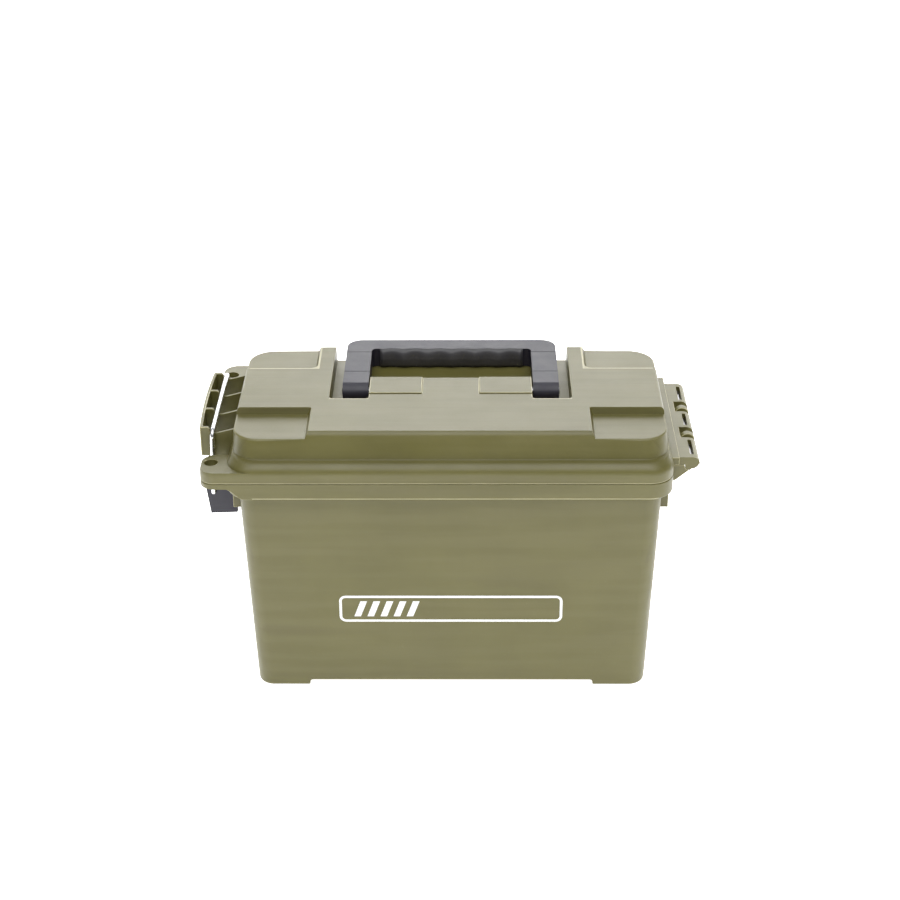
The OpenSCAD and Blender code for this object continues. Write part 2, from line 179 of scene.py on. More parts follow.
def brick(name, low, high):
    (x0, y0, z0), (x1, y1, z1) = low, high
    return prism(name, [(x0, y0), (x1, y0), (x1, y1), (x0, y1)], "z", z0, z1)


def arc(cx, cy, r, a0, a1, steps):
    """Points on an arc, both ends included. Angles are in degrees."""
    angles = [math.radians(a0 + (a1 - a0) * i / steps) for i in range(steps + 1)]
    return [(cx + r * math.cos(a), cy + r * math.sin(a)) for a in angles]


def apply_modifiers(obj):
    graph = bpy.context.evaluated_depsgraph_get()
    mesh = bpy.data.meshes.new_from_object(obj.evaluated_get(graph))
    obj.modifiers.clear()
    obj.data = mesh


def combine(obj, tools, operation):
    for tool in tools:
        step = obj.modifiers.new("combine", "BOOLEAN")
        step.operation = operation
        step.solver = "EXACT"
        step.object = tool
    apply_modifiers(obj)
    for tool in tools:
        bpy.data.objects.remove(tool)
    return obj


def cut(obj, tools):
    return combine(obj, tools, "DIFFERENCE")


def join(name, parts):
    """One object holding the meshes of several, each still a closed island."""
    bm = bmesh.new()
    wear_and_highlight = bm.faces.layers.float.new(WEAR_AND_HIGHLIGHT)
    for part in parts:
        known = part.data.attributes.get(WEAR_AND_HIGHLIGHT)
        values = [item.value for item in known.data] if known else []
        start = len(bm.faces)
        bm.from_mesh(part.data)
        bm.faces.ensure_lookup_table()
        for i, value in enumerate(values):
            bm.faces[start + i][wear_and_highlight] = value
        bpy.data.objects.remove(part)
    mesh = bpy.data.meshes.new(name)
    bm.to_mesh(mesh)
    bm.free()
    return new_object(name, mesh)


def edge_runs(edges):
    """The edges sorted into connected runs."""
    left, runs = set(edges), []
    while left:
        run, ahead = [], [next(e for e in edges if e in left)]
        left.discard(ahead[0])
        while ahead:
            edge = ahead.pop()
            run.append(edge)
            for vert in edge.verts:
                for other in vert.link_edges:
                    if other in left:
                        left.discard(other)
                        ahead.append(other)
        runs.append(run)
    return runs


def stands_out(face):
    """Whether a face's neighbours fall away behind it, as they do along an outer edge."""
    middle = face.calc_center_median()
    others = [other for edge in face.edges for other in edge.link_faces if other is not face]
    return sum((other.calc_center_median() - middle).dot(face.normal) for other in others) < 0


def soften(obj, width, angle=30, steps=2, wear_and_highlight=1.0, where=None):
    """Rounds sharp edges, and gives the outer ones pale wear and a painted edge highlight.

    where(x, y, z) picks edges by their middles, in millimetres.
    """
    bm = bmesh.new()
    bm.from_mesh(obj.data)
    layer = bm.faces.layers.float.get(WEAR_AND_HIGHLIGHT) or bm.faces.layers.float.new(WEAR_AND_HIGHLIGHT)
    bmesh.ops.remove_doubles(bm, verts=bm.verts, dist=0.004 * MM)
    bmesh.ops.dissolve_limit(bm, angle_limit=math.radians(0.4), verts=bm.verts, edges=bm.edges)
    edges = []
    for edge in bm.edges:
        if len(edge.link_faces) != 2 or edge.calc_face_angle(0) < math.radians(angle):
            continue
        middle = (edge.verts[0].co + edge.verts[1].co) / (2 * MM)
        if where is None or where(*middle):
            edges.append(edge)
    for run in edge_runs(edges):
        made = bmesh.ops.bevel(bm, geom=run, offset=width * MM, offset_type="OFFSET", segments=steps,
                               profile=0.5, affect="EDGES", clamp_overlap=True, loop_slide=True)
        bm.normal_update()
        # Outer bevel faces get pale wear and a painted edge highlight.
        for face in made["faces"]:
            face[layer] = wear_and_highlight if stands_out(face) else 0.0
    bm.to_mesh(obj.data)
    bm.free()
    return obj


def score(obj, point, direction):
    """Splits the faces that a plane crosses. The point is in millimetres."""
    bm = bmesh.new()
    bm.from_mesh(obj.data)
    everything = bm.verts[:] + bm.edges[:] + bm.faces[:]
    bmesh.ops.bisect_plane(bm, geom=everything, plane_co=Vector(point) * MM, plane_no=direction)
    bm.to_mesh(obj.data)
    bm.free()


def mark_wear_and_highlight(obj, wear_and_highlight, where):
    """Sets the pale wear and painted edge highlight of the faces whose middle where(x, y, z) picks, in
    millimetres.
    """
    layer = obj.data.attributes.get(WEAR_AND_HIGHLIGHT) or obj.data.attributes.new(WEAR_AND_HIGHLIGHT, "FLOAT", "FACE")
    for face in obj.data.polygons:
        if where(*(face.center / MM)):
            layer.data[face.index].value = wear_and_highlight
    return obj


def finish_mesh(obj, smooth_angle=32):
    """Smooth shading that keeps flat faces flat."""
    obj.data.shade_smooth()
    obj.data.set_sharp_from_angle(angle=math.radians(smooth_angle))
    weigh = obj.modifiers.new("flat faces stay flat", "WEIGHTED_NORMAL")
    weigh.keep_sharp = True
    weigh.weight = 80
    return obj


# ---- Plans of the shells ----

def corner(half_l, half_w, r, sx, sy, steps):
    """One rounded corner, counterclockwise, of a centred rectangle."""
    start = {(1, 1): 0, (-1, 1): 90, (-1, -1): 180, (1, -1): 270}[sx, sy]
    return arc(sx * (half_l - r), sy * (half_w - r), r, start, start + 90, steps)


def along(path, steps):
    """Points along a path of ("line", p, q) and ("arc", cx, cy, r, a0, a1), so many steps to each piece."""
    points = [path[0][1]]
    for piece, count in zip(path, steps):
        for i in range(1, count + 1):
            t = i / count
            if piece[0] == "line":
                points.append(tuple(a + (b - a) * t for a, b in zip(piece[1], piece[2])))
            else:
                a = math.radians(piece[4] + (piece[5] - piece[4]) * t)
                points.append((piece[1] + piece[3] * math.cos(a), piece[2] + piece[3] * math.sin(a)))
    return points


def latch_corner(half_l, half_w, r):
    """The front corner at the latch end, from the end wall to the front, without its ear."""
    return along([("line", (-half_l, -EAR_START), (-half_l, -half_w + r)),
                  ("arc", -half_l + r, -half_w + r, r, 180, 270)], (12, 28))


def ear_corner(half_l, half_w, r):
    """The same corner with the padlock ear on it, drawn in as far as the rest of the outline."""
    inset = RIM_HALF_W - half_w
    ear_r = EAR_R - inset
    x = -EAR_X + EAR_R
    back = -EAR_BACK - EAR_R
    front = -RIM_HALF_W + EAR_R
    return along([("line", (-half_l, -EAR_START), (-half_l, back + ear_r)),
                  ("line", (-half_l, back + ear_r), (x, back + ear_r)),
                  ("arc", x, back, ear_r, 90, 180),
                  ("line", (x - ear_r, back), (x - ear_r, front)),
                  ("arc", x, front, ear_r, 180, 270),
                  ("line", (x, -half_w), (-half_l + r, -half_w))], (4, 4, 12, 2, 12, 6))


def ring(half_l, half_w, r, z, shape=latch_corner):
    """A level outline. shape draws the two corners at the latch end: latch_corner or ear_corner."""
    front = [(*p, z) for p in shape(half_l, half_w, r)]
    back = [(x, -y, h) for x, y, h in reversed(front)]
    hinge_back = [(*p, z) for p in corner(half_l, half_w, r, 1, 1, CORNER_STEPS)]
    hinge_front = [(*p, z) for p in corner(half_l, half_w, r, 1, -1, CORNER_STEPS)]
    return hinge_back + back + front + hinge_front


def tub_ring(z, inset, r_inset=None):
    half_l = TUB_HALF[0] + TUB_GROWTH[0] * z - inset
    half_w = TUB_HALF[1] + TUB_GROWTH[1] * z - inset
    return ring(half_l, half_w, TUB_R - (inset if r_inset is None else r_inset), z)


def rim_ring(inset, z, shape=latch_corner):
    return ring(RIM_HALF_L - inset, RIM_HALF_W - inset, RIM_R - inset, z, shape)


# ---- Base ----

def foot_gap_outline(half_gap):
    """Cross-section of the space between two feet, with a soft S at each end."""
    tip, root = 1.6, 1.9
    side = arc(-half_gap - tip, tip, tip, -90, 0, 5)
    side += arc(-half_gap + root, FOOT_H - root, root, 180, 90, 5)
    left = [(-half_gap - tip, -3.0)] + side
    return left + [(-x, z) for x, z in reversed(left)]


def tub_moulding():
    edge = 2.0
    rings = [tub_ring(edge * (1 - math.cos(math.radians(a))), edge * (1 - math.sin(math.radians(a))))
             for a in (0, 18, 36, 54, 72, 90)]
    rings += [tub_ring(RIM_Z - 12, 0), tub_ring(BASE_TOP - WALL - 1, 0), tub_ring(BASE_TOP - WALL, -1, 0)]
    rings += [rim_ring(WALL + 0.6, BASE_TOP - WALL), rim_ring(WALL, BASE_TOP - WALL - 0.6),
              rim_ring(WALL, RIM_Z + 0.5), rim_ring(WALL - 0.4, RIM_Z), rim_ring(0.9, RIM_Z),
              rim_ring(0.45, RIM_Z + 0.15), rim_ring(0.12, RIM_Z + 0.5), rim_ring(0, RIM_Z + 1.0)]
    rings += [rim_ring(0, EAR_LOW - SKIN)]
    rings += [rim_ring(inset, z, ear_corner)
              for inset, z in ((0, EAR_LOW), (0, BASE_TOP - 0.5), (0.12, BASE_TOP - 0.12), (0.5, BASE_TOP))]
    rings += [rim_ring(1.4, BASE_TOP), tub_ring(BASE_TOP, WALL - 0.6), tub_ring(BASE_TOP - 0.6, WALL)]
    inner = 3.0
    for a in (0, 22.5, 45, 67.5, 90):
        t = math.radians(a)
        rings.append(tub_ring(FLOOR_Z + inner * (1 - math.sin(t)), WALL + inner * (1 - math.cos(t)), WALL))
    tub = loft("tub_moulding", rings)
    reach = 90
    tools = [prism("gap", foot_gap_outline(FOOT_GAP[0]), "y", -reach, reach),
             prism("gap", foot_gap_outline(FOOT_GAP[1]), "x", -2 * reach, 2 * reach)]
    for sx in (-1, 1):
        for sy in (-1, 1):
            xs = sorted((sx * (FOOT_GAP[0] + WALL + 1.5), sx * (TUB_HALF[0] - WALL - 3)))
            ys = sorted((sy * (FOOT_GAP[1] + WALL + 1.5), sy * (TUB_HALF[1] - WALL - 3)))
            tools.append(brick("foot", (xs[0], ys[0], WALL), (xs[1], ys[1], FLOOR_Z + 1)))
    tools += [hole(PADLOCK[0], sy * PADLOCK[1], PADLOCK[2], EAR_LOW - 3, BASE_TOP + 3) for sy in (-1, 1)]
    cut(tub, tools)
    soften(tub, 0.35)
    # Pale lines of wear and painted highlight: faint at the rim's top edge, bright along the rim's lower
    # outer edge.
    mark_wear_and_highlight(tub, 0.1, lambda x, y, z: BASE_TOP - 0.55 < z < BASE_TOP - 0.01)
    mark_wear_and_highlight(tub, 0.8, lambda x, y, z: RIM_Z + 0.01 < z < RIM_Z + 1.0
              and max(abs(x) - RIM_HALF_L, abs(y) - RIM_HALF_W) > -1)
    return tub


def hole(x, y, r, z0, z1):
    return prism("hole", arc(x, y, r, 0, 360 - 360 / 48, 47), "z", z0, z1)


def ear_web(sy):
    """Wall under a base ear, flush with the rim, whose lower edge is an S from the rim up to the ear."""
    steps, start, stop, root = 16, -120.5, -132.0, -115.5
    curve = []
    for i in range(steps + 1):
        t = i / steps
        rise = (1 - math.cos(math.pi * t)) / 2
        curve.append((start + (stop - start) * t, RIM_Z + (EAR_LOW - RIM_Z) * rise))
    outline = [(root, RIM_Z)] + curve + [(stop, EAR_LOW + 0.5), (root, EAR_LOW + 0.5)]
    ys = sorted((sy * (RIM_HALF_W - 0.02), sy * (RIM_HALF_W - WALL)))
    return prism("web", outline, "y", ys[0], ys[1])


def bracket(sy):
    """Plate that carries the lever's pin."""
    boss = 4.0
    outline = [(-123.7, 122), (-125.7, 122)] + arc(*LEVER_PIN, boss, 250, 90, 12)
    outline += [(-RIM_HALF_L, RIM_Z + 6), (-123.7, RIM_Z + 6)]
    ys = sorted((sy * 29.5, sy * 34.0))
    return prism("bracket", outline, "y", ys[0], ys[1])


def gusset(y0, y1, boss):
    """Gusset under the hinge. A boss carries the pin; without one the gusset clears the lid's knuckle."""
    foot_x, flange_x, root_x = 133.8, 137.4, RIM_HALF_L - WALL
    if boss:
        round_part = arc(*HINGE, KNUCKLE_R, -110, 190, 30)
    else:
        round_part = arc(*HINGE, KNUCKLE_R + GAP, 248, 191, 8)
    outline = [(root_x, RIM_Z), (foot_x, RIM_Z)] + round_part + [(flange_x, BASE_TOP), (root_x, BASE_TOP)]
    return prism("gusset", outline, "y", y0, y1)


def base_details():
    parts = []
    for sy in (-1, 1):
        parts += [ear_web(sy), bracket(sy)]
        knuckle = sorted((sy * 15.05, sy * 19.55))
        parts.append(gusset(*knuckle, True))
        end = sorted((sy * (FLANGE_Y - 2.3), sy * FLANGE_Y))
        parts.append(gusset(*end, False))
        for sx in (-1, 1):
            xs = sorted((sx * 123.7, sx * 130.4))
            ys = sorted((sy * 46.5, sy * 49.5))
            parts.append(brick("rib", (xs[0], ys[0], 121), (xs[1], ys[1], RIM_Z + 3)))
    for part in parts:
        soften(part, 0.4)
    return parts


# ---- Lid ----

def shoulder(inset_z):
    """Inset of the bead's round shoulder at a height above the bead's straight side."""
    return BEAD_R * (1 - math.cos(math.asin(min(1, inset_z / BEAD_R))))


def crown_ring(z, grow=0.0, r=CROWN_R):
    t = (z - LEDGE_Z) / (LID_TOP - LEDGE_Z)
    half_l = CROWN_FOOT[0] + (CROWN_TOP[0] - CROWN_FOOT[0]) * t + grow
    half_w = CROWN_FOOT[1] + (CROWN_TOP[1] - CROWN_FOOT[1]) * t + grow
    return ring(half_l, half_w, r + grow, z)


def bead_ring(inset, z, shape=latch_corner):
    """The bead keeps a narrow ledge at the ends, where the crown stands almost flush."""
    end_inset = min(inset, RIM_HALF_L - CROWN_FOOT[0] - 0.2)
    r = RIM_R + (CROWN_R - RIM_R) * inset / BEAD_R
    return ring(RIM_HALF_L - end_inset, RIM_HALF_W - inset, r, z, shape)


def skirt_rings(shape, inset=0.0):
    """The lid's skirt, from its rounded lower edge up to the level of the ears' tops."""
    rise = EAR_TOP - BEAD_SIDE_Z
    rings = [rim_ring(WALL + 1, LID_BOTTOM + inset, shape)]
    rings += [rim_ring(inset + edge, LID_BOTTOM + max(inset, up), shape)
              for edge, up in ((0.5, 0), (0.12, 0.12), (0, 0.5))]
    rings += [bead_ring(inset + shoulder(up), BEAD_SIDE_Z + up, shape) for up in (0, rise / 2, rise)]
    return rings


def lid_body():
    """The lid as one solid: skirt, bead and crown, and a second skirt with the padlock ears on it."""
    rings = skirt_rings(latch_corner)
    first = math.degrees(math.asin((EAR_TOP - BEAD_SIDE_Z) / BEAD_R)) + 8
    for i in range(8):
        a = math.radians(first + (90 - first) * i / 7)
        rings.append(bead_ring(BEAD_R * (1 - math.cos(a)), BEAD_SIDE_Z + BEAD_R * math.sin(a)))
    rings += [crown_ring(LEDGE_Z + 0.02, 0.35), crown_ring(LEDGE_Z + 0.15, 0.12), crown_ring(LEDGE_Z + 0.5)]
    rings += [crown_ring(LID_TOP - CROWN_ROUND)]
    for i in range(1, 6):
        a = math.radians(90 * i / 5)
        rise = CROWN_ROUND * math.sin(a)
        rings.append(crown_ring(LID_TOP - CROWN_ROUND + rise, -CROWN_ROUND * 0.8 * (1 - math.cos(a))))
    eared = skirt_rings(ear_corner, EAR_INSET) + [bead_ring(WALL, EAR_TOP, ear_corner)]
    return combine(loft("lid_moulding", rings), [loft("ears", eared)], "UNION")


def pocket_outline(grow):
    """The handle's pocket: a U round the platform, open at the back."""
    x, front, reach = POCKET_X + grow, POCKET_FRONT - grow, 90
    px, back = PLATFORM_X - grow, PLATFORM_BACK - grow
    r = 2.5 + grow
    outer = arc(-x + r, front + r, r, 180, 270, 6)
    step_in = arc(-px - 2, front + 2, 2, -90, 0, 4) if grow == 0 else [(-px, front)]
    step_back = arc(-px + 1, back - 1, 1, 180, 90, 4) if grow == 0 else [(-px, back)]
    left = [(-x, reach)] + outer + step_in + step_back
    return left + [(-a, b) for a, b in reversed(left)]


def stack_outline(sx, sy, grow, r):
    """Corner recess, open to the side and the end."""
    x, y, far = STACK[0] - grow, STACK[1] - grow, 60
    inner = arc(x + r, y + r, r, 270, 180, 5)
    outline = [(x + far, y)] + inner + [(x, y + far), (x + far, y + far)]
    return [(sx * a, sy * b) for a, b in outline]


def lid_cavity():
    """The lid's hollow, with walls left round the pocket, the stacking recesses and the pins' chambers."""
    inset = WALL
    low = (124.55, 65.95, 8.2)
    step = 154.72
    rings = [ring(*low, LID_BOTTOM - 3), ring(*low, step - 0.02),
             ring(RIM_HALF_L - inset, RIM_HALF_W - inset, RIM_R - inset, step)]
    for a in (30, 60, 90):
        t = math.radians(a)
        k = inset + (BEAD_R - inset) * (1 - math.cos(t))
        end = inset + min(k - inset, RIM_HALF_L - CROWN_FOOT[0])
        z = step + (BEAD_R - inset) * math.sin(t)
        rings.append(ring(RIM_HALF_L - end, RIM_HALF_W - k, RIM_R - inset, z))
    rings += [crown_ring(160.2, -inset), crown_ring(LID_TOP - WALL, -inset)]
    cavity = loft("cavity", rings)
    guards = [prism("guard", pocket_outline(WALL), "z", POCKET_Z - WALL, LID_TOP + 9)]
    guards += [prism("guard", stack_outline(sx, sy, WALL, 2), "z", LID_TOP - STACK[2] - WALL, LID_TOP + 8)
               for sx in (-1, 1) for sy in (-1, 1)]
    for sx in (-1, 1):
        xs = sorted((sx * (CAP_LOW.x - WALL), sx * (PLATFORM_X + 1)))
        guards.append(brick("guard", (xs[0], POCKET_FRONT - 1, POCKET_Z - WALL + 0.01),
                            (xs[1], PLATFORM_BACK + 1, LID_TOP + 7)))
    return cut(cavity, guards)


def gasket_channel():
    """Room for the gasket: the space under the rib, and the groove outside it."""
    inner = [size - SEAL_WIDTH for size in SEAL_OUTER]
    z, top = 150.75, 152.78
    block = loft("channel", [ring(*SEAL_OUTER, LID_BOTTOM - 2), ring(*SEAL_OUTER, z)])
    groove = loft("groove", [ring(*SEAL_OUTER, z - 0.5), ring(*SEAL_OUTER, top),
                             ring(*inner, top), ring(*inner, z - 0.5)], loop=True)
    return [block, groove]


def rod_outline(cx, cz, r, steps=40):
    return arc(cx, cz, r, 0, 360 - 360 / steps, steps - 1)


def paint_highlight_lines(lid):
    """Painted highlight lines on the flat top, along the back recesses and the front of the pocket."""
    line = 1.1
    x_stack, y_stack = STACK[0] - STACK_SLOPE - line, STACK[1] - STACK_SLOPE - line
    for x in (x_stack, POCKET_X, PLATFORM_X):
        score(lid, (x, 0, 0), (1, 0, 0))
        score(lid, (-x, 0, 0), (1, 0, 0))
    for y in (y_stack, y_stack + line, POCKET_FRONT - line, POCKET_FRONT):
        score(lid, (0, y, 0), (0, 1, 0))
    # The pale strips are a painted highlight standing in for the glint on the rounded edges beside them.
    line_highlight = 0.75
    mark_wear_and_highlight(lid, line_highlight, lambda x, y, z: z > LID_TOP - 0.01 and abs(x) > x_stack and y > y_stack)
    mark_wear_and_highlight(lid, line_highlight, lambda x, y, z: z > LID_TOP - 0.01 and PLATFORM_X < abs(x) < POCKET_X
              and POCKET_FRONT - line < y < POCKET_FRONT)


def lid_shell():
    """The lid's shell, cut from its solid."""
    lid = lid_body()
    tools = [lid_cavity(), *gasket_channel()]
    tools.append(prism("pocket", pocket_outline(0), "z", POCKET_Z, LID_TOP + 10))
    for sx in (-1, 1):
        for sy in (-1, 1):
            r = 1.5 if sy < 0 else 5.0
            levels = ((LID_TOP - STACK[2], 0), (LID_TOP, STACK_SLOPE), (LID_TOP + 9, STACK_SLOPE))
            rings = [[(*p, z) for p in stack_outline(sx, sy, grow, r)] for z, grow in levels]
            tools.append(loft("stack", rings))
    for sx in (-1, 1):
        xs = sorted((sx * CAP_LOW.x, sx * (PLATFORM_X + 3)))
        tools.append(brick("seat", (xs[0], CAP_LOW.y - 0.1, LID_TOP - 2),
                           (xs[1], PLATFORM_BACK + 3, LID_TOP + 8)))
        xs = sorted((sx * 34.9, sx * (PLATFORM_X + 2)))
        tools.append(prism("bore", rod_outline(*HANDLE_PIN, HANDLE_PIN_R + 0.07), "x", *xs))
        xs = sorted((sx * 19.5, sx * (PLATFORM_X - WALL)))
        tools.append(brick("chamber", (xs[0], POCKET_FRONT + WALL, POCKET_Z - WALL - 1),
                           (xs[1], 1.0, LID_TOP - 2 * WALL)))
    for sy in (-1, 1):
        tools.append(hole(PADLOCK[0], sy * PADLOCK[1], PADLOCK[2], LID_BOTTOM - 3, EAR_TOP + 4))
    cut(lid, tools)
    floor = LID_TOP - STACK[2]
    # The stacking recesses' edges get faint pale wear and a painted edge highlight.
    soften(lid, 1.0, 40, 3, 0.15, lambda x, y, z: abs(z - floor) < 0.4 and (abs(y) > 50 or abs(x) > 120))
    soften(lid, 0.8, 36, 3, 0.2, lambda x, y, z: z > LID_TOP - 0.5 and y < 0.5 - STACK[1] + STACK_SLOPE
           and abs(x) > STACK[0] - STACK_SLOPE - 0.5)
    soften(lid, 0.5, 36)
    paint_highlight_lines(lid)
    # Painted highlight along the lid's lower edge, on top of the pale flash of the parting line.
    return mark_wear_and_highlight(lid, 1.0, lambda x, y, z: LID_BOTTOM + 0.01 < z < LID_BOTTOM + 0.5)


def hood_plate():
    """Bowed outer plate of the latch hood."""
    half, bow, thick = HOOD_HALF, HOOD_BOW, 2.0
    x0 = LID_LOW.x
    steps = 16
    ys = [-half - 1 + (2 * half + 2) * i / steps for i in range(steps + 1)]
    outer = [(x0 + bow * (y / half) ** 2, y) for y in ys]
    inner = [(x0 + thick + bow * (y / half) ** 2, y) for y in reversed(ys)]
    plate = prism("plate", outer + inner, "z", LID_BOTTOM, 169.0)
    return soften(plate, 0.55, angle=40)


def hood_rib(y):
    x0 = LID_LOW.x + HOOD_BOW * (y / HOOD_HALF) ** 2 + 1
    top, groove = 168.9, 165.0
    outline = [(x0, LID_BOTTOM), (-130.4, LID_BOTTOM), (-126, 158), (-126, 168.4)]
    outline += [(-138.7, groove), (-143.3, groove)]
    outline += arc(-144.9, top - 1.6, 1.6, 0, 90, 5) + [(x0, top)]
    rib = prism("rib", outline, "y", y - 1, y + 1)
    return soften(rib, 0.4, angle=35)


def hinge_row():
    """Flange and knuckles along the hinge end."""
    top, flange_x = 154.9, 137.4
    root = RIM_HALF_L - 1
    parts = [brick("flange", (root, 0.1 - FLANGE_Y, 152.2), (flange_x + 1.5, FLANGE_Y - 0.1, top - SKIN)),
             brick("step", (root, -STEP[1], 152.25), (STEP[0], STEP[1], STEP[2]))]
    rows = [(-FLANGE_Y, -24.0, -45.0, -27.0), (-10.5, 10.5, -7.5, 7.5), (24.0, FLANGE_Y, 27.0, 45.0)]
    for y0, y1, s0, s1 in rows:
        outline = [(root, LID_BOTTOM), (HINGE[0] - KNUCKLE_R, LID_BOTTOM)]
        outline += arc(*HINGE, KNUCKLE_R, 180, 450, 30) + [(root, top)]
        knuckle = prism("knuckle", outline, "y", y0, y1)
        slot = brick("slot", (HINGE[0] - 1.1, s0, HINGE[1]), (HINGE[0] + 1.1, s1, top + 4))
        bore = prism("bore", rod_outline(*HINGE, PIN_BORE_R), "y", max(y0 - 1, -46.5), min(y1 + 1, 46.5))
        tools = [slot, bore]
        if y0 < -40 or y1 > 40:
            end = sorted((math.copysign(46.9, y0 + y1), math.copysign(FLANGE_Y + 2, y0 + y1)))
            below = [(133.8, RIM_Z), (160, RIM_Z), (160, HINGE[1]), (147, HINGE[1])]
            tools.append(prism("trim", below, "y", *end))
        parts.append(cut(knuckle, tools))
    for part in parts:
        soften(part, 0.35, angle=40)
    return parts


def lid_moulding():
    parts = [lid_shell(), hood_plate()]
    parts += [hood_rib(y) for y in (-36.5, -12.2, 12.2, 36.5)]
    parts += hinge_row()
    return join("lid_moulding", parts)


# ---- Handle ----

def handle_frame():
    """U-shaped frame with round leg ends."""
    half, back = HANDLE_HIGH.x, HANDLE_HIGH.y
    z0, z1 = HANDLE_LOW.z, HANDLE_HIGH.z
    leg_x = half - 15.8
    pivot_y = HANDLE_PIN[0]
    bar_y = back - 13.3
    r, window_r = 9.5, 3.0
    outer = [(half, pivot_y)] + arc(half - r, back - r, r, 0, 90, 10)
    outer += arc(-half + r, back - r, r, 90, 180, 10) + [(-half, pivot_y), (-leg_x, pivot_y)]
    outer += arc(-leg_x + window_r, bar_y - window_r, window_r, 180, 90, 6)
    outer += arc(leg_x - window_r, bar_y - window_r, window_r, 90, 0, 6) + [(leg_x, pivot_y)]
    body = prism("handle_frame", outer, "z", z0, z1)
    end_r = 6
    end = [(pivot_y + 0.01, z0), (pivot_y + 0.01, z1)]
    for a in (118, 146, 166, 186, 206, 226, 248):
        t = math.radians(a)
        end.append((pivot_y + end_r * math.cos(t), (z0 + z1) / 2 + end_r * math.sin(t)))
    ends = [prism("end", end, "x", *sorted((sx * leg_x, sx * half))) for sx in (-1, 1)]
    combine(body, ends, "UNION")
    soften(body, 0.9, angle=30, steps=3)
    grooves = [brick("groove", (-half - 1, y, z1 - 0.2), (half + 1, y + 0.5, z1 + 1))
               for y in (21.0, 49.0)]
    return cut(body, grooves)


def handle_soft_grip():
    """Half-round grip with finger waves, wrapped round the inner edge of the bar."""
    half = GRIP_HIGH.x
    face = GRIP_HIGH.y
    depth = face - GRIP_LOW.y
    middle = (GRIP_LOW.z + GRIP_HIGH.z) / 2
    tall = (GRIP_HIGH.z - GRIP_LOW.z) / 2
    waves, columns, rows = 6, 120, 20
    wave_h, seam_h = 1.5, 0.22
    bm = bmesh.new()
    lines = []
    for i in range(columns + 1):
        u = i / columns
        x = -half + 2 * half * u
        wave = 0.5 - 0.5 * math.cos(2 * math.pi * waves * u)
        fade = min(1, min(u, 1 - u) * 40)
        out = (depth - seam_h - wave_h * wave) * (0.55 + 0.45 * math.sqrt(fade))
        line = []
        for j in range(rows + 1):
            a = math.pi * j / rows
            seam = seam_h * math.exp(-((a - math.pi / 2) / 0.07) ** 2)
            y = face - (out + seam) * math.sin(a) ** 0.8
            z = middle + (tall - 0.25 * wave * math.sin(a)) * math.cos(a)
            line.append(bm.verts.new((x, y, z)))
        lines.append(line)
    for a, b in zip(lines, lines[1:]):
        for j in range(rows):
            bm.faces.new((a[j], b[j], b[j + 1], a[j + 1]))
        bm.faces.new((a[rows], b[rows], b[0], a[0]))
    bm.faces.new(lines[0])
    bm.faces.new(list(reversed(lines[-1])))
    return mesh_from(bm, "handle_soft_grip")


def pin_plate(side):
    name = "pin_plate_right" if side > 0 else "pin_plate_left"
    xs = sorted((side * CAP_LOW.x, side * CAP_HIGH.x))
    plate = brick(name, (xs[0], CAP_LOW.y, LID_TOP - 1.95), (xs[1], CAP_HIGH.y, CAP_HIGH.z))
    return soften(plate, 0.5)


# ---- Latch ----

def tube(name, points, radius, sides=20):
    """A round wire along a path, closed by small domes."""
    path = [Vector(p) for p in points]
    bm = bmesh.new()
    rows = []
    side = Vector((1, 0, 0))
    for i, p in enumerate(path):
        ahead = (path[min(i + 1, len(path) - 1)] - path[max(i - 1, 0)]).normalized()
        side = (side - ahead * side.dot(ahead)).normalized()
        other = ahead.cross(side)
        scales = [(0, 1)]
        if i in (0, len(path) - 1):
            outwards = -1 if i == 0 else 1
            scales = [(outwards * math.sin(a), math.cos(a)) for a in (0, 0.5, 1.0, 1.35)]
            if i == 0:
                scales.reverse()
        for shift, scale in scales:
            centre = p + ahead * shift * radius
            rows.append([bm.verts.new(centre + radius * scale * (side * math.cos(t) + other * math.sin(t)))
                         for t in (2 * math.pi * k / sides for k in range(sides))])
    for lower, upper in zip(rows, rows[1:]):
        for k in range(sides):
            j = (k + 1) % sides
            bm.faces.new((lower[k], lower[j], upper[j], upper[k]))
    bm.faces.new(list(reversed(rows[0])))
    bm.faces.new(rows[-1])
    return mesh_from(bm, name)


def bail_wire():
    """Wire loop whose bar rests in the hood's groove and whose ends hang beside the lever."""
    bend = 4.0
    top = Vector((-141.4, 0, 167.0))
    foot = Vector((BAIL_END[0], 0, BAIL_END[1]))
    half = BAIL_HIGH.y - BAIL_R
    down = (foot - top).normalized()
    length = (foot - top).length
    flat = [(-half, length)] + [(-half, length * k / 6) for k in (5, 4, 3, 2)]
    flat += [(-half + bend - bend * math.cos(math.radians(a)), bend - bend * math.sin(math.radians(a)))
             for a in range(0, 91, 10)]
    flat += [(y, 0) for y in (-24, -12, 0)]
    flat += [(-y, d) for y, d in reversed(flat[:-1])]
    points = [top + down * d + Vector((0, y, 0)) for y, d in flat]
    return tube("bail_wire", points, BAIL_R)


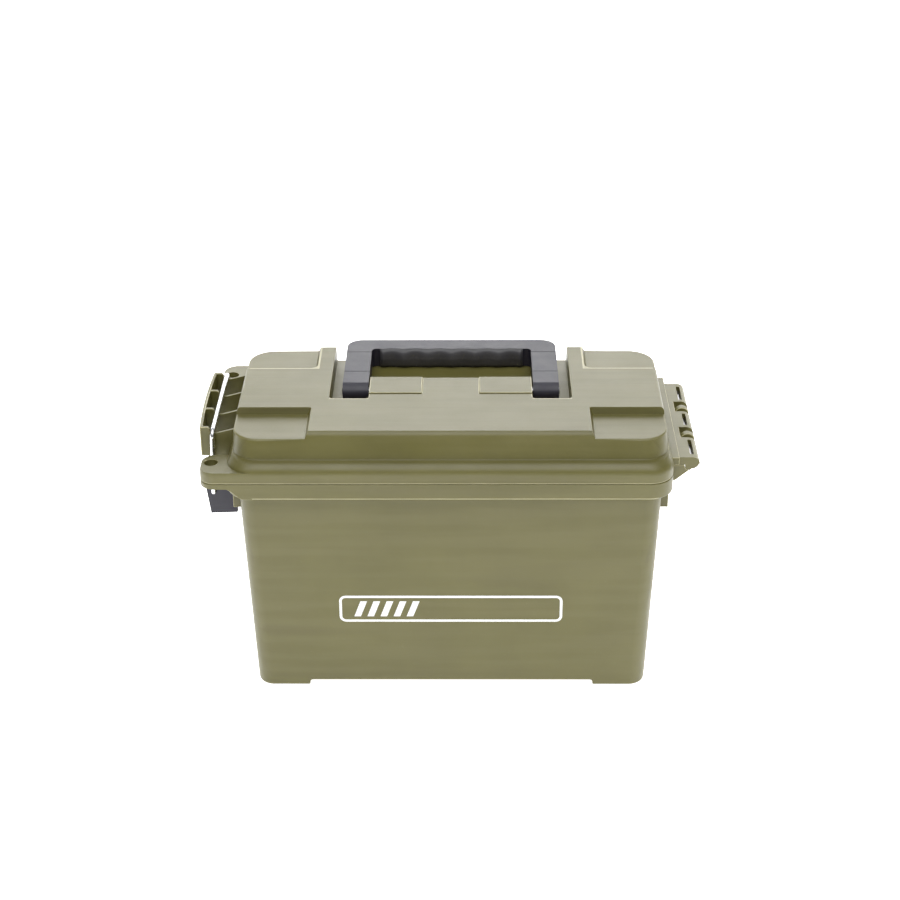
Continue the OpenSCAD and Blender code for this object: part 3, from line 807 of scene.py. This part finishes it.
def lever_moulding():
    """Over-centre lever: a bent plate between two cheeks."""
    toe = (-145.7, LEVER_LOW.z)
    heel_x = LEVER_HIGH.x
    out, knee_z, top = LEVER_LOW.x, 128.8, LEVER_HIGH.z
    px, pz = LEVER_PIN
    cheek = [toe, (heel_x, toe[1] + 0.6), (heel_x - 0.4, 121.5), (px + 6, pz + 2), (px + 3, top)]
    cheek += [(out, top), (out, knee_z)]
    plate = [toe, (toe[0] + 2.2, toe[1]), (out + 2.2, knee_z), (out + 2.2, top), (out, top), (out, knee_z)]
    half, thick = LEVER_HIGH.y, 3.2
    body = prism("lever_moulding", plate, "y", -half + 0.5, half - 0.5)
    cheeks = [prism("cheek", cheek, "y", *sorted((sy * half, sy * (half - thick)))) for sy in (-1, 1)]
    combine(body, cheeks, "UNION")
    tools = []
    for sy in (-1, 1):
        ys = sorted((sy * 29.2, sy * 34.3))
        tools.append(brick("slot", (out - 1, ys[0], pz - 6), (px, ys[1], top + 1)))
    tools.append(prism("bore", rod_outline(px, pz, PIN_BORE_R), "y", -half - 1, half + 1))
    tools.append(prism("bore", rod_outline(*BAIL_END, BAIL_R + 0.3), "y", -half - 1, half + 1))
    cut(body, tools)
    return soften(body, 0.45, angle=35)


# ---- Print ----

def printed_mark():
    """A plain stencil panel on the front: an empty rounded frame with slanted bars beside it."""
    z_mid, half_w, half_h = 57.5, 68.0, 9.5
    line, bar_w, bar_h = 1.6, 4, 5.5
    lean = TUB_GROWTH[1]
    y_skin = -(TUB_HALF[1] + lean * z_mid) - 0.06
    bm = bmesh.new()

    def spot(x, z):
        return (x, y_skin - lean * (z - z_mid), z)

    def frame_outline(grow):
        r = 4.0 + grow
        return [spot(x, z + z_mid) for sx, sz, a0 in ((1, 1, 0), (-1, 1, 90), (-1, -1, 180), (1, -1, 270))
                for x, z in arc(sx * (half_w + grow - r), sz * (half_h + grow - r), r, a0, a0 + 90, 6)]

    outer = [bm.verts.new(p) for p in frame_outline(0)]
    inner = [bm.verts.new(p) for p in frame_outline(-line)]
    for i in range(len(outer)):
        j = (i + 1) % len(outer)
        bm.faces.new((outer[i], outer[j], inner[j], inner[i]))
    for i in range(5):
        x0 = -half_w + 9 + 2 * bar_w * i
        corners = [(x0, -bar_h), (x0 + bar_w, -bar_h), (x0 + 2 * bar_w, bar_h), (x0 + bar_w, bar_h)]
        bm.faces.new([bm.verts.new(spot(x, z + z_mid)) for x, z in corners])
    obj = mesh_from(bm, "printed_mark")
    solid = obj.modifiers.new("ink", "SOLIDIFY")
    solid.thickness = 0.05 * MM
    apply_modifiers(obj)
    return obj


def pin(name, start, end, radius):
    """A steel pin with chamfered ends, along X or Y."""
    a, b = Vector(start), Vector(end)
    ahead = (b - a).normalized()
    side = Vector((0, 0, 1))
    other = ahead.cross(side)
    chamfer = 0.3
    rings = []
    stations = ((a, radius - chamfer), (a + ahead * chamfer, radius),
                (b - ahead * chamfer, radius), (b, radius - chamfer))
    for centre, r in stations:
        rings.append([centre + r * (side * math.cos(t) + other * math.sin(t))
                      for t in (2 * math.pi * k / 32 for k in range(32))])
    return loft(name, rings)


def cross_rod(name, place, half):
    """A pin across the box, at a place in X and Z."""
    x, z = place
    return pin(name, (x, -half, z), (x, half, z), PIN_R)


def handle_stub(side):
    name = "handle_stub_right" if side > 0 else "handle_stub_left"
    return pin(name, (side * 35.0, *HANDLE_PIN), (side * 66.6, *HANDLE_PIN), HANDLE_PIN_R)


def seal_ring():
    """Soft seal with rounded edges, pressed into the lid's channel."""
    inner = [size - SEAL_WIDTH + 0.05 for size in SEAL_OUTER]
    low, high, r = LID_BOTTOM, LID_BOTTOM + 2.98, 0.7

    def grown(plan, d, z):
        return ring(plan[0] - d, plan[1] - d, plan[2] - d, z)

    rings = []
    for i in range(4):
        t = math.radians(30 * i)
        rings.append(grown(SEAL_OUTER, r * (1 - math.sin(t)), low + r * (1 - math.cos(t))))
    rings.append(grown(SEAL_OUTER, 0, high))
    rings.append(grown(inner, 0, high))
    for i in range(4):
        t = math.radians(90 - 30 * i)
        rings.append(grown(inner, -r * (1 - math.sin(t)), low + r * (1 - math.cos(t))))
    return loft("seal_ring", rings, loop=True)


# ---- Materials ----

def tone(red, green, blue):
    """A colour given in display values from 0 to 255."""
    def linear(v):
        v /= 255
        return v / 12.92 if v <= 0.04045 else ((v + 0.055) / 1.055) ** 2.4
    return (linear(red), linear(green), linear(blue), 1)


class Shader:
    """A material being built from nodes."""

    def __init__(self, name, **values):
        self.material = bpy.data.materials.new(name)
        self.material.use_nodes = True
        self.tree = self.material.node_tree
        self.surface = self.tree.nodes["Principled BSDF"]
        for socket, value in values.items():
            self.surface.inputs[socket.replace("_", " ")].default_value = value
        self.place = self.add("ShaderNodeTexCoord").outputs["Object"]

    def add(self, kind, **settings):
        node = self.tree.nodes.new(kind)
        for key, value in settings.items():
            setattr(node, key, value)
        return node

    def link(self, source, target):
        self.tree.links.new(source, target)

    def noise(self, scale, detail=3, stretch=(1, 1, 1), roughness=0.5):
        """Noise of so many blobs per metre, stretched along the axes."""
        mapping = self.add("ShaderNodeMapping")
        mapping.inputs["Scale"].default_value = stretch
        self.link(self.place, mapping.inputs["Vector"])
        node = self.add("ShaderNodeTexNoise")
        node.inputs["Scale"].default_value = scale
        node.inputs["Detail"].default_value = detail
        node.inputs["Roughness"].default_value = roughness
        self.link(mapping.outputs["Vector"], node.inputs["Vector"])
        return node.outputs["Fac"]

    def curve(self, value, low, high, to_low=0.0, to_high=1.0):
        node = self.add("ShaderNodeMapRange")
        limits_of = {"From Min": low, "From Max": high, "To Min": to_low, "To Max": to_high}
        for socket, number in limits_of.items():
            node.inputs[socket].default_value = number
        self.link(value, node.inputs["Value"])
        return node.outputs["Result"]

    def multiply(self, a, b):
        node = self.add("ShaderNodeMath", operation="MULTIPLY")
        self.link(a, node.inputs[0])
        if isinstance(b, float):
            node.inputs[1].default_value = b
        else:
            self.link(b, node.inputs[1])
        return node.outputs["Value"]

    def mix(self, factor, a, b):
        node = self.add("ShaderNodeMix", data_type="RGBA")
        self.link(factor, node.inputs["Factor"])
        for socket, value in ((node.inputs[6], a), (node.inputs[7], b)):
            if isinstance(value, tuple):
                socket.default_value = value
            else:
                self.link(value, socket)
        return node.outputs[2]

    # Where edges carry pale wear and a painted highlight.
    def wear_and_highlight_mask(self):
        return self.add("ShaderNodeAttribute", attribute_name=WEAR_AND_HIGHLIGHT).outputs["Fac"]

    def colour(self, value):
        self.link(value, self.surface.inputs["Base Color"])

    def roughness(self, value, low, high):
        self.link(self.curve(value, 0.3, 0.7, low, high), self.surface.inputs["Roughness"])

    def bump(self, heights):
        """Bumps of (height field, depth in millimetres), one on another."""
        below = None
        for height, depth in heights:
            node = self.add("ShaderNodeBump")
            node.inputs["Strength"].default_value = 1.0
            node.inputs["Distance"].default_value = depth * MM
            self.link(height, node.inputs["Height"])
            if below is not None:
                self.link(below, node.inputs["Normal"])
            below = node.outputs["Normal"]
        self.link(below, self.surface.inputs["Normal"])


def olive_plastic():
    shader = Shader("olive_plastic", IOR=1.5)
    blotch = shader.curve(shader.noise(22, 4), 0.35, 0.65)
    flow = shader.curve(shader.noise(14, 3, (0.6, 9, 9)), 0.4, 0.6)
    dust = shader.curve(shader.noise(420, 5, roughness=0.7), 0.62, 0.74)
    base = shader.mix(blotch, tone(88, 84, 40), tone(94, 90, 45))
    base = shader.mix(shader.multiply(flow, 0.35), base, tone(102, 97, 58))
    base = shader.mix(shader.multiply(dust, 0.12), base, tone(130, 126, 92))
    streak = shader.curve(shader.noise(10, 2, (0.3, 60, 4)), 0.58, 0.66)
    base = shader.mix(shader.multiply(streak, 0.22), base, tone(74, 69, 36))
    # Cream on marked edges: partly wear, partly a painted highlight on the rounded edges.
    rub_and_highlight = shader.multiply(shader.wear_and_highlight_mask(), shader.curve(shader.noise(90, 4), 0.25, 0.6, 0.55, 0.95))
    shader.colour(shader.mix(rub_and_highlight, base, tone(168, 162, 122)))
    shader.roughness(shader.noise(55, 5), 0.34, 0.44)
    grain = shader.noise(2600, 2)
    scuffs = shader.noise(160, 4, (0.25, 3, 3))
    shader.bump([(shader.noise(9, 2), 0.25), (scuffs, 0.02), (grain, 0.035)])
    return shader.material


def satin_plastic():
    shader = Shader("satin_grey_plastic", IOR=1.47, Specular_IOR_Level=0.5)
    base = shader.mix(shader.curve(shader.noise(40, 4), 0.35, 0.65), tone(34, 33, 44), tone(40, 38, 50))
    # Lighter grey on marked edges: partly wear, partly a painted highlight.
    rub_and_highlight = shader.multiply(shader.wear_and_highlight_mask(), shader.curve(shader.noise(140, 4), 0.3, 0.6, 0.2, 0.6))
    shader.colour(shader.mix(rub_and_highlight, base, tone(84, 82, 90)))
    shader.roughness(shader.noise(80, 5), 0.38, 0.52)
    shader.bump([(shader.noise(30, 3), 0.08), (shader.noise(2400, 2), 0.04)])
    return shader.material


def soft_grip():
    shader = Shader("soft_black_grip", IOR=1.48, Specular_IOR_Level=0.45)
    base = shader.mix(shader.curve(shader.noise(60, 4), 0.35, 0.65), tone(58, 57, 60), tone(68, 67, 70))
    shader.colour(base)
    shader.roughness(shader.noise(120, 4), 0.28, 0.4)
    shader.bump([(shader.noise(70, 3), 0.06), (shader.noise(3000, 2), 0.05)])
    return shader.material


def seal_rubber():
    shader = Shader("seal_rubber", IOR=1.5, Specular_IOR_Level=0.35)
    blotch = shader.curve(shader.noise(80, 4), 0.35, 0.65)
    shader.colour(shader.mix(blotch, tone(24, 24, 25), tone(38, 38, 38)))
    shader.roughness(shader.noise(140, 4), 0.65, 0.85)
    shader.bump([(shader.noise(1800, 3), 0.06)])
    return shader.material


def wire_steel():
    shader = Shader("bright_wire", Metallic=1.0)
    drawn = shader.noise(260, 3, (6, 6, 0.3))
    shader.colour(shader.mix(shader.curve(drawn, 0.3, 0.7), tone(206, 207, 210), tone(236, 236, 238)))
    shader.roughness(drawn, 0.16, 0.3)
    shader.bump([(drawn, 0.01), (shader.noise(1500, 2), 0.008)])
    return shader.material


def pin_steel():
    shader = Shader("pin_steel", Metallic=1.0)
    turned = shader.noise(500, 3, (5, 1, 5))
    shader.colour(shader.mix(shader.curve(turned, 0.3, 0.7), tone(168, 168, 172), tone(204, 204, 207)))
    shader.roughness(turned, 0.22, 0.38)
    shader.bump([(turned, 0.01)])
    return shader.material


def white_ink():
    shader = Shader("white_ink", IOR=1.45, Specular_IOR_Level=0.4)
    speck = shader.curve(shader.noise(700, 5, roughness=0.7), 0.5, 0.66)
    shader.colour(shader.mix(speck, tone(238, 238, 236), tone(214, 214, 210)))
    shader.roughness(shader.noise(300, 4), 0.5, 0.65)
    shader.bump([(shader.noise(1600, 3), 0.02)])
    return shader.material


def floor_paint():
    shader = Shader("pale_floor", Specular_IOR_Level=0.2, Emission_Color=(1, 1, 1, 1),
                    Emission_Strength=1.0)
    blotch = shader.curve(shader.noise(3, 3), 0.3, 0.7)
    shader.colour(shader.mix(blotch, tone(250, 250, 250), tone(253, 253, 253)))
    shader.roughness(shader.noise(5, 3), 0.75, 0.85)
    return shader.material


# ---- Assembly ----

OLIVE = olive_plastic()
GREY = satin_plastic()
STEEL = pin_steel()


def install(obj, material, body, nodes):
    """Finishes a piece, gives it its material, and hands it to the frame."""
    finish_mesh(obj)
    obj.data.materials.clear()
    obj.data.materials.append(material)
    for face in obj.data.polygons:
        face.material_index = 0
    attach(obj, body)
    if nodes:
        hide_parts(*nodes)
    return obj


tub = join("tub_moulding", [tub_moulding(), *base_details()])
lid = lid_moulding()
install(tub, OLIVE, "base", ["base_shell"])
install(lid, OLIVE, "lid", ["lid_shell"])
install(seal_ring(), seal_rubber(), "lid", ["lid_gasket"])
install(cross_rod("hinge_rod", HINGE, 46.2), STEEL, "base", ["hinge_pin"])
install(cross_rod("lever_rod", LEVER_PIN, 38.4), STEEL, "base", ["lever_pin"])
install(printed_mark(), white_ink(), "base", [])
install(handle_frame(), GREY, "handle", ["carry_handle"])
install(handle_soft_grip(), soft_grip(), "handle", ["handle_grip"])
for side, word in ((-1, "left"), (1, "right")):
    install(handle_stub(side), STEEL, "lid", ["handle_pin_" + word])
    install(pin_plate(side), OLIVE, "lid", ["pin_cap_" + word])
install(bail_wire(), wire_steel(), "bail", ["latch_bail"])
install(lever_moulding(), GREY, "lever", ["latch_lever"])


# ---- Studio ----

def stage_floor():
    """A large pale sweep that curves up behind the object."""
    half, front, back, rise, r = 4.0, -3.0, 3.2, 3.0, 1.2
    profile = [(front, 0)] + [(back - r + r * math.sin(a), r - r * math.cos(a))
                              for a in (math.pi / 2 * i / 16 for i in range(17))] + [(back, rise)]
    bm = bmesh.new()
    rows = [[bm.verts.new((x, y, z)) for y, z in profile] for x in (-half, half)]
    for i in range(len(profile) - 1):
        bm.faces.new((rows[0][i], rows[1][i], rows[1][i + 1], rows[0][i + 1]))
    mesh = bpy.data.meshes.new("studio_floor")
    bm.to_mesh(mesh)
    bm.free()
    obj = new_object("studio_floor", mesh)
    obj.data.materials.append(floor_paint())
    obj.data.shade_smooth()
    obj.visible_shadow = False


def far_light(name, bearing, height, width, strength):
    """A wide soft source far off. Its bearing, height and width are angles in degrees.

    Bearing 90 is behind the box.
    """
    lamp = bpy.data.lights.new(name, "SUN")
    lamp.angle = math.radians(width)
    lamp.energy = strength
    obj = bpy.data.objects.new(name, lamp)
    bpy.context.scene.collection.objects.link(obj)
    b, h = math.radians(bearing), math.radians(height)
    towards = Vector((math.cos(b) * math.cos(h), math.sin(b) * math.cos(h), math.sin(h)))
    obj.rotation_euler = towards.to_track_quat("Z", "Y").to_euler()


def studio():
    stage_floor()
    far_light("overhead", -90, 70, 64, 2.6)
    far_light("back", 90, 26, 32, 2.9)
    world = bpy.data.worlds.new("studio_air")
    world.use_nodes = True
    world.node_tree.nodes["Background"].inputs["Color"].default_value = (1, 1, 1, 1)
    world.node_tree.nodes["Background"].inputs["Strength"].default_value = 0.25
    bpy.context.scene.world = world
    bpy.context.scene.view_settings.view_transform = "Standard"


def camera():
    lens = bpy.data.cameras.new("camera")
    lens.lens = 75.67
    lens.sensor_width = 36
    lens.clip_start = 0.05
    obj = bpy.data.objects.new("camera", lens)
    obj.location = (0.0111, -1.0345, 0.6877)
    obj.rotation_euler = [math.radians(a) for a in (61.82, 0.30, 0.49)]
    bpy.context.scene.collection.objects.link(obj)
    bpy.context.scene.camera = obj


studio()
camera()
